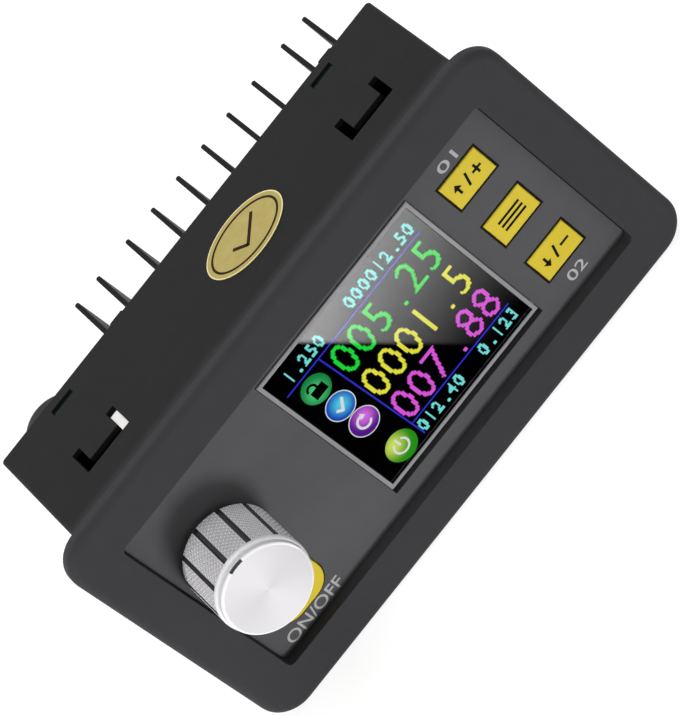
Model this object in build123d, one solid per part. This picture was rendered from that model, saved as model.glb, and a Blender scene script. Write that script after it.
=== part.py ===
from build123d import *
import math
import os

# Panel-mounted step-down power module: display, keys and knob in front, finned heatsink behind.
# Millimetres. X runs to the right seen from the front, Y runs rearwards, +Z is up.
# Every depth below is measured rearwards from the front face of the bezel.

# Case
BEZEL_W = 79.0
BEZEL_H = 43.0
BEZEL_CORNER = 4.6
BEZEL_EDGE = 1.1
FLANGE_T = 2.0
BODY_W = 71.0
BODY_H = 39.0
BODY_CORNER = 0.6
CASE_DEPTH = 24.5
WALL = 1.3
RECESS_W = 66.4
RECESS_H = 31.4
RECESS_CORNER = 0.8
RECESS_DEPTH = 1.8
LEDGE_LIP = 1.0
FRONT_WALL = 4.8
POST_SIDE = 3.2

# Snap tongues in the top and bottom walls, and the slots behind them
TONGUE_X = 24.95
TONGUE_W = 5.1
TONGUE_GAP = 1.3
TONGUE_SLOT_START = 9.6
TONGUE_TIP = 11.0
TONGUE_ROOT = 14.1
TONGUE_T = 0.8
TONGUE_HINGE = 1.2
HOOK_REACH = 0.8
TAB_X = 25.0
TAB_W = 3.4
TAB_REACH = 0.9

# Front panel plate
PANEL_T = 1.6
PANEL_FIT = 0.1

# Display
DISPLAY_TO_KEYS = 3.375
DISPLAY_Z = 0.9
DISPLAY_W = 28.1
DISPLAY_H = 26.0
DISPLAY_RIM = 0.55
DISPLAY_CHAMFER = 0.1
DISPLAY_PROUD = 0.25
DISPLAY_GAP_BELOW = 0.95
DISPLAY_FLANGE = 0.7
DISPLAY_FLANGE_T = 0.8
GLASS_SUNK = 0.1
GLASS_T = 0.8
CELL_T = 1.2
BACKLIGHT_T = 2.6
HOLDER_WALL = 2.1
SLIDE_FIT = 0.1

# Keys at the right
KEY_X = 26.08
KEY_Z = 0.0
KEY_PITCH = 8.7
KEY_W = 6.55
KEY_H = 4.55
KEY_PROUD = 0.15
KEY_GAP = 0.15
KEY_EDGE = 0.1
KEY_FLANGE = 0.7
KEY_FLANGE_T = 0.8
KEY_STEM = 2.8
KEY_TRAVEL = 0.3

# Output key under the knob
OUTPUT_X = -25.7
OUTPUT_Z = -9.2
OUTPUT_W = 8.8
OUTPUT_H = 8.0
OUTPUT_CORNER = 3.0

# Tactile switches behind the keys
SWITCH_SIDE = 6.0
SWITCH_T = 3.4
PLUNGER_R = 1.75
PLUNGER_OUT = 1.5
PLUNGER_DEEP = 1.2
SMALL_EDGE = 0.35
RUN_FIT = 0.05

# Knob and rotary encoder
KNOB_X = -26.0
KNOB_Z = 2.2
KNOB_R = 6.4
KNOB_TOP_R = 5.8
KNOB_STEP_R = 6.1
KNOB_FRONT = 8.95
KNOB_GRIP_END = 7.4
KNOB_SHOULDER = 0.6
KNOB_LIFT = 0.9
KNOB_GROOVES = 11
KNOB_GROOVE_W = 0.65
KNOB_GROOVE_DEPTH = 0.5
KNOB_GROOVE_TURN = -3.5
KNOB_SKIN = 1.2
KNOB_FACE_T = 1.0
KNOB_MARK_W = 2.4
KNOB_MARK_T = 0.4
KNOB_TRAVEL = 0.5
SHAFT_R = 3.0
SHAFT_FLAT = 1.5
SHAFT_BORE_DEPTH = 7.4
ENCODER_SIDE = 11.7
ENCODER_T = 6.4
ENCODER_PLATE_T = 0.8
BUSHING_R = 3.45
BUSHING_LEN = 4.6
BUSHING_GAP = 0.25
ACTUATOR_R = 2.2
ACTUATOR_T = 1.0

# Boards
FRONT_BOARD_Y = 10.2
FRONT_BOARD_T = 1.6
BOARD_FIT = 0.4
POWER_BOARD_Y = 21.95
POWER_BOARD_T = 1.0
TAB_FIT = 0.05

# Link between the boards
LINK_PINS = 8
LINK_PITCH = 2.54
LINK_X = 10.0
LINK_INSET = 3.4
LINK_BASE_T = 2.0
PIN_SIDE = 0.64
PIN_FIT = 0.08

# White socket behind the top edge of the front board
SOCKET_LEFT = -22.3
SOCKET_W = 9.9
SOCKET_T = 3.7
SOCKET_DOWN = 0.5
SOCKET_H = 5.4
SOCKET_SHELL = 0.7
SOCKET_PINS = 4
SOCKET_PITCH = 2.0

# Heatsink
SINK_X = 6.93
SINK_FIT = 0.2
SINK_BASE_T = 2.5
PAD_T = 0.5
PAD_MARGIN = 2.0
PAD_CLEAR = 0.4
FIN_T = 0.65
FIN_BEVEL = 0.22
FIN_PITCH = 4.95
FIN_INNER = 6
FIN_OUTER = (18.15, 22.32)
SINK_DEPTH = 35.0
RIDGE_W = 2.2
RIDGE_RISE = 0.9
SCREW_X = 20.2
SCREW_R = 1.25
SCREW_HEAD_R = 2.4
SCREW_HEAD_T = 1.6
SCREW_BITE = 1.8

# Power parts on the front of the power board
CORE_X = 8.0
CORE_Z = 2.0
CORE_R = 8.2
CORE_HOLE_R = 4.6
CORE_T = 5.2
CORE_FIT = 0.05
WIRE_T = 1.3
TURNS = 18
CHIP_W = 6.5
CHIP_H = 6.1
CHIP_T = 2.3
CHIP_X = 22.0
CHIP_Z = 7.0
CHIP_TAB = 1.0
CHIP_LEAD_T = 0.5
CHIP_LEG_W = 0.9
CHIP_LEG_LEN = 2.0
MCU_SIDE = 7.0
MCU_T = 1.4
MCU_X = -8.0

# Capacitors on the rear of the power board
CAP_INPUT_R = 5.0
CAP_OUTPUT_R = 4.0
CAP_LEN = 12.0
CAP_EDGE = 0.5
CAP_GROOVE = 0.25
CAP_FOOT = 1.6
CAP_INPUT_X = -28.9
CAP_LOW_SHARE = 0.045
CAP_OUTPUT_X = -20.4
CAP_OUTPUT_Z = -1.6

# Wire terminal at the left of the rear
TERMINAL_X = -29.2
TERMINAL_FOOT = 0.74
TERMINAL_POLES = 4
TERMINAL_PITCH = 5.08
TERMINAL_W = 9.4
TERMINAL_T = 10.0
TERMINAL_SHOULDER = 1.6
ENTRY_W = 3.4
ENTRY_H = 3.9
ENTRY_Y = 4.6
ENTRY_DEPTH = 7.0
CLAMP_T = 0.5
TERMINAL_SCREW_R = 1.9
TERMINAL_WELL_R = 2.0
TERMINAL_SCREW_SUNK = 0.6
TERMINAL_SLOT_W = 0.7
TERMINAL_PIN_SIDE = 1.0

# Oval sticker on the top wall
STICKER_X = 4.5
STICKER_Y = 14.5
STICKER_W = 12.9
STICKER_D = 9.1
STICKER_T = 0.12

# Places that follow from the sizes above
PANEL_REAR = RECESS_DEPTH + PANEL_T
FRONT_BOARD_REAR = FRONT_BOARD_Y + FRONT_BOARD_T
POWER_BOARD_REAR = POWER_BOARD_Y + POWER_BOARD_T
INNER_W = BODY_W - 2 * WALL
INNER_H = BODY_H - 2 * WALL
DISPLAY_X = KEY_X - KEY_W / 2 - DISPLAY_TO_KEYS - DISPLAY_W / 2
DISPLAY_FRONT = RECESS_DEPTH - DISPLAY_PROUD
GLASS_FRONT = DISPLAY_FRONT + GLASS_SUNK
CELL_FRONT = GLASS_FRONT + GLASS_T
BACKLIGHT_FRONT = PANEL_REAR + DISPLAY_FLANGE_T
HOLDER_FRONT = BACKLIGHT_FRONT + BACKLIGHT_T
SWITCH_FRONT = FRONT_BOARD_Y - SWITCH_T
PLUNGER_FRONT = SWITCH_FRONT - PLUNGER_OUT
ENCODER_FRONT = FRONT_BOARD_Y - ENCODER_T
SINK_FRONT = POWER_BOARD_REAR + PAD_T
SINK_BASE_REAR = SINK_FRONT + SINK_BASE_T
SINK_W = 2 * FIN_OUTER[1] + FIN_T
SINK_H = INNER_H - 2 * SINK_FIT
LINK_GAP = POWER_BOARD_Y - FRONT_BOARD_REAR
LINK_Z = LINK_INSET - (INNER_H / 2 - BOARD_FIT)
SOCKET_TOP = INNER_H / 2 - SOCKET_DOWN
TERMINAL_H = TERMINAL_POLES * TERMINAL_PITCH
TERMINAL_Z = TERMINAL_FOOT + (TERMINAL_H - INNER_H) / 2
TERMINAL_TOP = TERMINAL_Z + TERMINAL_H / 2
CAP_FREE = INNER_H / 2 - TERMINAL_TOP - 2 * CAP_INPUT_R
CAP_INPUT_Z = TERMINAL_TOP + CAP_LOW_SHARE * CAP_FREE + CAP_INPUT_R
MIDDLE_Y = (SINK_DEPTH - KNOB_FRONT) / 2


def prism(sketch, front, rear):
    """Solid of a sketch drawn in X and Z, from depth front to depth rear."""
    plane = Plane(origin=(0, rear, 0), x_dir=(1, 0, 0), z_dir=(0, -1, 0))
    return extrude(plane * sketch, amount=rear - front)


def block(x, z, w, h, front, rear):
    return prism(Pos(x, z) * Rectangle(w, h), front, rear)


def disc(x, z, r, front, rear):
    return prism(Pos(x, z) * Circle(r), front, rear)


def turned(x, z, points):
    """Solid of revolution about a line along Y; points are (radius, depth)."""
    profile = make_face(Plane.XY * Polyline(*points, close=True))
    return Pos(x, 0, z) * revolve(profile, Axis.Y)


def outline(x, z, w, h, r):
    """Rectangle about a place, its corners rounded where r isn't zero."""
    return Pos(x, z) * (RectangleRounded(w, h, r) if r else Rectangle(w, h))


def group(solids):
    """Separate solids kept together as one sub-part."""
    return Part() + solids


def tongue_cut(side):
    """U-shaped cuts that free two snap tongues in one wall (+1 top, -1 bottom), thinned from inside."""
    outer_w = TONGUE_W + 2 * TONGUE_GAP
    mid_z = side * (BODY_H - WALL) / 2
    cut = Part()
    for x in (-TONGUE_X, TONGUE_X):
        window = block(x, mid_z, outer_w, 2 * WALL, TONGUE_SLOT_START, TONGUE_ROOT)
        tongue = block(x, mid_z, TONGUE_W, 3 * WALL, TONGUE_TIP, TONGUE_ROOT + 1)
        cut += window - tongue
        hinge = TONGUE_ROOT + TONGUE_HINGE
        pocket_z = side * (INNER_H - TONGUE_T + WALL) / 2
        cut += block(x, pocket_z, outer_w, WALL - TONGUE_T, TONGUE_SLOT_START, hinge)
    return cut


def tongue_hooks(side):
    """Inward hooks on the tongues that catch the rear face of the front board."""
    catch = FRONT_BOARD_REAR + TAB_FIT
    wall_z = side * (BODY_H / 2 - TONGUE_T)
    tip_z = side * (INNER_H / 2 - HOOK_REACH)
    profile = make_face(
        Plane.YZ * Polyline((catch, wall_z), (catch, tip_z), (TONGUE_ROOT, wall_z), close=True)
    )
    hook = extrude(profile, amount=TONGUE_W / 2, both=True)
    return Pos(-TONGUE_X, 0, 0) * hook + Pos(TONGUE_X, 0, 0) * hook


def case():
    bezel = prism(RectangleRounded(BEZEL_W, BEZEL_H, BEZEL_CORNER), 0, FLANGE_T)
    bezel = fillet(bezel.faces().sort_by(Axis.Y)[0].edges(), BEZEL_EDGE)
    body = prism(RectangleRounded(BODY_W, BODY_H, BODY_CORNER), BEZEL_EDGE, CASE_DEPTH)
    shell = bezel + body
    shell -= prism(RectangleRounded(RECESS_W, RECESS_H, RECESS_CORNER), -1, PANEL_REAR)
    ledge_w = RECESS_W - 2 * LEDGE_LIP
    ledge_h = RECESS_H - 2 * LEDGE_LIP
    shell -= block(0, 0, ledge_w, ledge_h, 0, FRONT_WALL)
    shell -= block(0, 0, INNER_W, INNER_H, FRONT_WALL, CASE_DEPTH + 1)
    for sx in (-1, 1):
        for sz in (-1, 1):
            x = sx * (INNER_W - POST_SIDE) / 2
            z = sz * (INNER_H - POST_SIDE) / 2
            shell += block(x, z, POST_SIDE, POST_SIDE, FRONT_WALL, FRONT_BOARD_Y)
    for side in (-1, 1):
        shell -= tongue_cut(side)
        shell += tongue_hooks(side)
    slot_w = TAB_W + 4 * TAB_FIT
    slot_front = POWER_BOARD_Y - TAB_FIT
    slot_rear = POWER_BOARD_REAR + TAB_FIT
    for x in (-TAB_X, TAB_X):
        shell -= block(x, 0, slot_w, BODY_H + 1, slot_front, slot_rear)
    return shell


def key_places():
    """Centre, width, height and corner radius of each key."""
    return {
        "up": (KEY_X, KEY_Z + KEY_PITCH, KEY_W, KEY_H, 0),
        "set": (KEY_X, KEY_Z, KEY_W, KEY_H, 0),
        "down": (KEY_X, KEY_Z - KEY_PITCH, KEY_W, KEY_H, 0),
        "output": (OUTPUT_X, OUTPUT_Z, OUTPUT_W, OUTPUT_H, OUTPUT_CORNER),
    }


def front_panel():
    plate = RectangleRounded(RECESS_W - 2 * PANEL_FIT, RECESS_H - 2 * PANEL_FIT, RECESS_CORNER)
    window = Rectangle(DISPLAY_W + 2 * SLIDE_FIT, DISPLAY_H + 2 * SLIDE_FIT + DISPLAY_GAP_BELOW)
    plate -= Pos(DISPLAY_X, DISPLAY_Z - DISPLAY_GAP_BELOW / 2) * window
    plate -= Pos(KNOB_X, KNOB_Z) * Circle(BUSHING_R + BUSHING_GAP)
    for x, z, w, h, corner in key_places().values():
        hole_corner = corner + KEY_GAP if corner else 0
        plate -= outline(x, z, w + 2 * KEY_GAP, h + 2 * KEY_GAP, hole_corner)
    return prism(plate, RECESS_DEPTH, PANEL_REAR)


def display_bezel():
    """Frame that stands proud of the panel, with a flange trapped behind it."""
    frame = block(DISPLAY_X, DISPLAY_Z, DISPLAY_W, DISPLAY_H, DISPLAY_FRONT, BACKLIGHT_FRONT)
    frame = chamfer(frame.faces().sort_by(Axis.Y)[0].edges(), DISPLAY_CHAMFER)
    flange_w = DISPLAY_W + 2 * DISPLAY_FLANGE
    flange_h = DISPLAY_H + 2 * DISPLAY_FLANGE
    frame += block(DISPLAY_X, DISPLAY_Z, flange_w, flange_h, PANEL_REAR, BACKLIGHT_FRONT)
    window_w = DISPLAY_W - 2 * DISPLAY_RIM
    window_h = DISPLAY_H - 2 * DISPLAY_RIM
    return frame - block(DISPLAY_X, DISPLAY_Z, window_w, window_h, 0, BACKLIGHT_FRONT + 1)


def display_layer(front, rear, trim):
    """One flat layer of the display stack, trimmed at each side inside the frame's window."""
    w = DISPLAY_W - 2 * (DISPLAY_RIM + trim)
    h = DISPLAY_H - 2 * (DISPLAY_RIM + trim)
    return block(DISPLAY_X, DISPLAY_Z, w, h, front, rear)


def lcd_cell():
    return display_layer(CELL_FRONT, BACKLIGHT_FRONT, SLIDE_FIT)


def lcd_backlight():
    w = DISPLAY_W + 2 * DISPLAY_FLANGE
    h = DISPLAY_H + 2 * DISPLAY_FLANGE
    return block(DISPLAY_X, DISPLAY_Z, w, h, BACKLIGHT_FRONT, HOLDER_FRONT)


def lcd_holder():
    """Open frame that holds the display off the front board."""
    w = DISPLAY_W + 2 * DISPLAY_FLANGE
    h = DISPLAY_H + 2 * DISPLAY_FLANGE
    ring = Rectangle(w, h) - Rectangle(w - 2 * HOLDER_WALL, h - 2 * HOLDER_WALL)
    return prism(Pos(DISPLAY_X, DISPLAY_Z) * ring, HOLDER_FRONT, FRONT_BOARD_Y)


def key(x, z, w, h, corner):
    """Key cap with a stop flange behind the panel and a square stem to its switch."""
    face = RECESS_DEPTH - KEY_PROUD
    stop = PANEL_REAR + KEY_FLANGE_T
    cap = prism(outline(x, z, w, h, corner), face, stop)
    cap = chamfer(cap.faces().sort_by(Axis.Y)[0].edges(), KEY_EDGE)
    cap += block(x, z, w + 2 * KEY_FLANGE, h + 2 * KEY_FLANGE, PANEL_REAR, stop)
    return cap + block(x, z, KEY_STEM, KEY_STEM, stop, PLUNGER_FRONT)


def plunger(x, z):
    return disc(x, z, PLUNGER_R, PLUNGER_FRONT, SWITCH_FRONT + PLUNGER_DEEP)


def switch(x, z):
    """Tactile switch housing with a round well for its plunger."""
    housing = block(x, z, SWITCH_SIDE, SWITCH_SIDE, SWITCH_FRONT, FRONT_BOARD_Y)
    housing = chamfer(housing.edges().filter_by(Axis.Y), SMALL_EDGE)
    well = SWITCH_FRONT + PLUNGER_DEEP + 2 * KEY_TRAVEL
    return housing - disc(x, z, PLUNGER_R + RUN_FIT, SWITCH_FRONT - 1, well)


def knob_shell():
    """Turned aluminium cap: grooved grip, smooth step, flat face with a mark cut in its edge."""
    shell = turned(KNOB_X, KNOB_Z, [
        (0, -KNOB_FRONT), (KNOB_TOP_R, -KNOB_FRONT),
        (KNOB_STEP_R, -KNOB_FRONT + KNOB_STEP_R - KNOB_TOP_R),
        (KNOB_STEP_R, -KNOB_GRIP_END - KNOB_SHOULDER), (KNOB_R, -KNOB_GRIP_END),
        (KNOB_R, KNOB_LIFT), (0, KNOB_LIFT),
    ])
    reach = KNOB_R - KNOB_GROOVE_DEPTH
    for i in range(KNOB_GROOVES):
        turn = KNOB_GROOVE_TURN + i * 360 / KNOB_GROOVES
        x = reach + KNOB_R / 2
        cut = block(0, x, KNOB_GROOVE_W, KNOB_R, -KNOB_GRIP_END, KNOB_LIFT + 1)
        shell -= Pos(KNOB_X, 0, KNOB_Z) * Rot(0, turn, 0) * cut
    mark_z = KNOB_STEP_R - KNOB_MARK_T / 2
    mark = block(0, mark_z, KNOB_MARK_W, KNOB_MARK_T, -KNOB_FRONT - 1, -KNOB_FRONT + KNOB_MARK_T)
    shell -= Pos(KNOB_X, 0, KNOB_Z) * mark
    return shell - disc(KNOB_X, KNOB_Z, KNOB_R - KNOB_SKIN, -KNOB_FRONT + KNOB_FACE_T, KNOB_LIFT + 1)


def shaft_section(clearance):
    """D-shaped section of the encoder shaft, its flat facing up, grown by a clearance."""
    r = SHAFT_R + clearance
    flat = SHAFT_R - SHAFT_FLAT + clearance
    return Pos(KNOB_X, KNOB_Z) * (Circle(r) - Pos(0, flat + r / 2) * Rectangle(2 * r, r))


def knob_core():
    """Plastic insert pressed into the cap; its bore takes the shaft and clears the bushing."""
    core = disc(KNOB_X, KNOB_Z, KNOB_R - KNOB_SKIN - RUN_FIT, -KNOB_FRONT + KNOB_FACE_T, KNOB_LIFT)
    well_front = ENCODER_FRONT - BUSHING_LEN - KNOB_TRAVEL - BUSHING_GAP
    core -= disc(KNOB_X, KNOB_Z, BUSHING_R + BUSHING_GAP, well_front, KNOB_LIFT + 1)
    return core - prism(shaft_section(RUN_FIT), KNOB_LIFT - SHAFT_BORE_DEPTH, KNOB_LIFT)


def encoder_shaft():
    """Shaft flattened inside the knob and round in its bushing, with a collar inside the body."""
    tip = KNOB_LIFT - SHAFT_BORE_DEPTH
    bushing_front = ENCODER_FRONT - BUSHING_LEN
    shaft = prism(shaft_section(0), tip, bushing_front - KNOB_TRAVEL)
    return shaft + disc(KNOB_X, KNOB_Z, SHAFT_R, bushing_front - KNOB_TRAVEL, actuator_front())


def actuator_front():
    return FRONT_BOARD_Y - 2 * KNOB_TRAVEL - ACTUATOR_T


def encoder_actuator():
    """Disc that the shaft pushes against the encoder's own switch."""
    return disc(KNOB_X, KNOB_Z, ACTUATOR_R, actuator_front(), actuator_front() + ACTUATOR_T)


def encoder_body():
    body = block(KNOB_X, KNOB_Z, ENCODER_SIDE, ENCODER_SIDE, ENCODER_FRONT + ENCODER_PLATE_T, FRONT_BOARD_Y)
    body = chamfer(body.edges().filter_by(Axis.Y), SMALL_EDGE)
    return body - disc(KNOB_X, KNOB_Z, SHAFT_R + RUN_FIT, 0, FRONT_BOARD_Y + 1)


def encoder_bushing():
    """Metal cover plate with the bushing that guides the shaft, and a leg above and below."""
    front = ENCODER_FRONT - BUSHING_LEN
    rear = ENCODER_FRONT + ENCODER_PLATE_T
    plate = block(KNOB_X, KNOB_Z, ENCODER_SIDE, ENCODER_SIDE, ENCODER_FRONT, rear)
    for side in (-1, 1):
        z = KNOB_Z + side * (ENCODER_SIDE + ENCODER_PLATE_T) / 2
        plate += block(KNOB_X, z, ENCODER_SIDE / 3, ENCODER_PLATE_T, ENCODER_FRONT, FRONT_BOARD_Y)
    plate += disc(KNOB_X, KNOB_Z, BUSHING_R, front, ENCODER_FRONT)
    return plate - disc(KNOB_X, KNOB_Z, SHAFT_R + RUN_FIT, front - 1, rear + 1)


def front_board():
    return block(0, 0, INNER_W - 2 * BOARD_FIT, INNER_H - 2 * BOARD_FIT, FRONT_BOARD_Y, FRONT_BOARD_REAR)


def mcu_chip():
    chip = block(MCU_X, 0, MCU_SIDE, MCU_SIDE, FRONT_BOARD_REAR, FRONT_BOARD_REAR + MCU_T)
    return chamfer(chip.faces().sort_by(Axis.Y)[-1].edges(), SMALL_EDGE)


def link_columns():
    first = LINK_X - (LINK_PINS - 1) * LINK_PITCH / 2
    return [first + i * LINK_PITCH for i in range(LINK_PINS)]


def bored_strip(front, rear):
    """Plastic strip of the link, bored right through for its pins."""
    strip = block(LINK_X, LINK_Z, LINK_PINS * LINK_PITCH, LINK_PITCH, front, rear)
    bore = PIN_SIDE + PIN_FIT
    for x in link_columns():
        strip -= block(x, LINK_Z, bore, bore, front - 1, rear + 1)
    return strip


def link_header():
    """Strip on the front board that carries the pins."""
    return bored_strip(FRONT_BOARD_REAR, FRONT_BOARD_REAR + LINK_BASE_T)


def link_socket():
    """Strip on the power board that takes the pins."""
    return bored_strip(FRONT_BOARD_REAR + LINK_BASE_T, POWER_BOARD_Y)


def link_pins():
    tip = FRONT_BOARD_REAR + LINK_GAP - LINK_BASE_T
    return group([block(x, LINK_Z, PIN_SIDE, PIN_SIDE, FRONT_BOARD_REAR, tip) for x in link_columns()])


def side_socket():
    """White wire socket lying on the rear of the front board, its mouth facing down."""
    x = SOCKET_LEFT + SOCKET_W / 2
    z = SOCKET_TOP - SOCKET_H / 2
    rear = FRONT_BOARD_REAR + SOCKET_T
    body = block(x, z, SOCKET_W, SOCKET_H, FRONT_BOARD_REAR, rear)
    s = SOCKET_SHELL
    return body - block(x, z - 2 * s, SOCKET_W - 2 * s, SOCKET_H, FRONT_BOARD_REAR + s, rear - s)


def side_socket_pins():
    x = SOCKET_LEFT + SOCKET_W / 2 - (SOCKET_PINS - 1) * SOCKET_PITCH / 2
    y = FRONT_BOARD_REAR + SOCKET_T / 2
    half = PIN_SIDE / 2
    top = SOCKET_TOP - 2 * SOCKET_SHELL
    pins = []
    for i in range(SOCKET_PINS):
        low = top - SOCKET_H / 2
        pins.append(block(x + i * SOCKET_PITCH, (top + low) / 2, PIN_SIDE, top - low, y - half, y + half))
    return group(pins)


def power_board():
    """Board with a tab in each of the four slots near the rear edge of the case."""
    tab_h = INNER_H + 2 * TAB_REACH
    outline = Rectangle(INNER_W - 2 * BOARD_FIT, INNER_H - 2 * BOARD_FIT)
    for x in (-TAB_X, TAB_X):
        outline += Pos(x, 0) * Rectangle(TAB_W, tab_h)
    for x, z in screw_places():
        outline -= Pos(x, z) * Circle(SCREW_R + RUN_FIT)
    return prism(outline, POWER_BOARD_Y, POWER_BOARD_REAR)


def screw_places():
    return [(SINK_X - SCREW_X, 0), (SINK_X + SCREW_X, 0)]


def thermal_pad():
    """Soft sheet between the two screws."""
    w = 2 * (SCREW_X - SCREW_HEAD_R - PAD_CLEAR)
    return block(SINK_X, 0, w, SINK_H - 2 * PAD_MARGIN, POWER_BOARD_REAR, SINK_FRONT)


def fin_offsets():
    inner = [(i - (FIN_INNER - 1) / 2) * FIN_PITCH for i in range(FIN_INNER)]
    outer = [side * x for x in FIN_OUTER for side in (-1, 1)]
    return sorted(inner + outer)


def heatsink():
    """Extruded profile drawn in X and Y: base, ten bevel-tipped fins and two screw ridges."""
    profile = Pos(SINK_X, (SINK_FRONT + SINK_BASE_REAR) / 2) * Rectangle(SINK_W, SINK_BASE_T)
    half = FIN_T / 2
    for offset in fin_offsets():
        x = SINK_X + offset
        corners = [
            (x - half, SINK_FRONT), (x + half, SINK_FRONT),
            (x + half, SINK_DEPTH - FIN_BEVEL), (x + half - FIN_BEVEL, SINK_DEPTH),
            (x - half + FIN_BEVEL, SINK_DEPTH), (x - half, SINK_DEPTH - FIN_BEVEL),
        ]
        profile += make_face(Polyline(*corners, close=True))
    ridge_x = sum(FIN_OUTER) / 2
    for side in (-1, 1):
        x = SINK_X + side * ridge_x
        profile += Pos(x, SINK_BASE_REAR + RIDGE_RISE / 2) * Trapezoid(RIDGE_W + RIDGE_RISE, RIDGE_RISE, 60)
    sink = Pos(0, 0, -SINK_H / 2) * extrude(profile, amount=SINK_H)
    for x, z in screw_places():
        sink -= disc(x, z, SCREW_R, SINK_FRONT - 1, SINK_FRONT + SCREW_BITE)
    return sink


def heatsink_screws():
    """Two pan-head screws from the front of the power board into the heatsink base."""
    screws = []
    for x, z in screw_places():
        head = disc(x, z, SCREW_HEAD_R, POWER_BOARD_Y - SCREW_HEAD_T, POWER_BOARD_Y)
        screws.append(head + disc(x, z, SCREW_R, POWER_BOARD_Y, SINK_FRONT + SCREW_BITE))
    return group(screws)


def core_front():
    return POWER_BOARD_Y - WIRE_T - CORE_T


def inductor_core():
    ring = Pos(CORE_X, CORE_Z) * (Circle(CORE_R) - Circle(CORE_HOLE_R))
    return prism(ring, core_front(), POWER_BOARD_Y - WIRE_T)


def inductor_winding():
    """Turns of thick wire round the ring, side by side in its hole and fanned out outside."""
    mid = (CORE_R + CORE_HOLE_R) / 2
    span = CORE_R - CORE_HOLE_R
    front = core_front()
    rear = front + CORE_T
    turn = block(mid, 0, span + 2 * WIRE_T, WIRE_T, front - WIRE_T, rear + WIRE_T)
    turn -= block(mid, 0, span + 2 * CORE_FIT, 2 * WIRE_T, front - CORE_FIT, rear + CORE_FIT)
    winding = Part()
    for i in range(TURNS):
        winding += Rot(0, i * 360 / TURNS, 0) * turn
    return Pos(CORE_X, 0, CORE_Z) * winding


def transistor(z):
    """Flat power transistor with its solder tab and legs, flat on the power board."""
    x = CHIP_X
    body = block(x, z, CHIP_W, CHIP_H, POWER_BOARD_Y - CHIP_T, POWER_BOARD_Y)
    body = chamfer(body.faces().sort_by(Axis.Y)[0].edges(), SMALL_EDGE)
    lead_front = POWER_BOARD_Y - CHIP_LEAD_T
    tab = block(x, z + (CHIP_H + CHIP_TAB) / 2, CHIP_W - CHIP_TAB, CHIP_TAB, lead_front, POWER_BOARD_Y)
    leg_z = z - (CHIP_H + CHIP_LEG_LEN) / 2
    for leg_x in (x - CHIP_W / 3, x + CHIP_W / 3):
        tab += block(leg_x, leg_z, CHIP_LEG_W, CHIP_LEG_LEN, lead_front, POWER_BOARD_Y)
    return body + tab


def capacitor(x, z, r):
    """Electrolytic can standing on the rear of the power board, with its crimp groove."""
    foot = POWER_BOARD_REAR
    top = foot + CAP_LEN
    groove = foot + CAP_FOOT
    return turned(x, z, [
        (0, foot), (r, foot), (r, groove - CAP_GROOVE), (r - CAP_GROOVE, groove),
        (r, groove + CAP_GROOVE), (r, top - CAP_EDGE), (r - CAP_EDGE, top), (0, top),
    ])


def pole_heights():
    first = TERMINAL_Z - (TERMINAL_POLES - 1) * TERMINAL_PITCH / 2
    return [first + i * TERMINAL_PITCH for i in range(TERMINAL_POLES)]


def terminal_block():
    """Moulded block: a wire mouth in the left side and a screw well at the rear of each pole."""
    x0 = TERMINAL_X - TERMINAL_W / 2
    x1 = TERMINAL_X + TERMINAL_W / 2
    y0 = POWER_BOARD_REAR
    y1 = y0 + TERMINAL_T
    s = TERMINAL_SHOULDER
    corners = [(x0, y0), (x1, y0), (x1, y1 - s), (x1 - s, y1), (x0 + s, y1), (x0, y1 - 2 * s)]
    section = make_face(Polyline(*corners, close=True))
    body = Pos(0, 0, TERMINAL_Z - TERMINAL_H / 2) * extrude(section, amount=TERMINAL_H)
    mouth_y = y0 + ENTRY_Y
    for z in pole_heights():
        mouth_x = x0 + ENTRY_DEPTH / 2
        body -= block(mouth_x, z, ENTRY_DEPTH, ENTRY_H, mouth_y - ENTRY_W / 2, mouth_y + ENTRY_W / 2)
        body -= disc(TERMINAL_X, z, TERMINAL_WELL_R, mouth_y, y1 + 1)
    return body


def terminal_clamps():
    """Square cage in each mouth that the screw draws against the wire."""
    mouth_y = POWER_BOARD_REAR + ENTRY_Y
    half = ENTRY_W / 2 - RUN_FIT
    inner = half - CLAMP_T
    h = ENTRY_H - 2 * RUN_FIT
    cages = []
    for z in pole_heights():
        cage = block(TERMINAL_X, z, ENTRY_H, h, mouth_y - half, mouth_y + half)
        cage -= block(TERMINAL_X, z, ENTRY_H + 1, h - 2 * CLAMP_T, mouth_y - inner, mouth_y + inner)
        cages.append(cage)
    return group(cages)


def terminal_screws():
    head_rear = POWER_BOARD_REAR + TERMINAL_T - TERMINAL_SCREW_SUNK
    tip = POWER_BOARD_REAR + ENTRY_Y + ENTRY_W / 2
    screws = []
    w = TERMINAL_SLOT_W
    for z in pole_heights():
        screw = disc(TERMINAL_X, z, TERMINAL_SCREW_R, tip, head_rear)
        screws.append(screw - block(TERMINAL_X, z, 3 * TERMINAL_SCREW_R, w, head_rear - w, head_rear + 1))
    return group(screws)


def sticker():
    top = BODY_H / 2
    return Pos(STICKER_X, STICKER_Y, top) * extrude(Ellipse(STICKER_W / 2, STICKER_D / 2), amount=STICKER_T)


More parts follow.
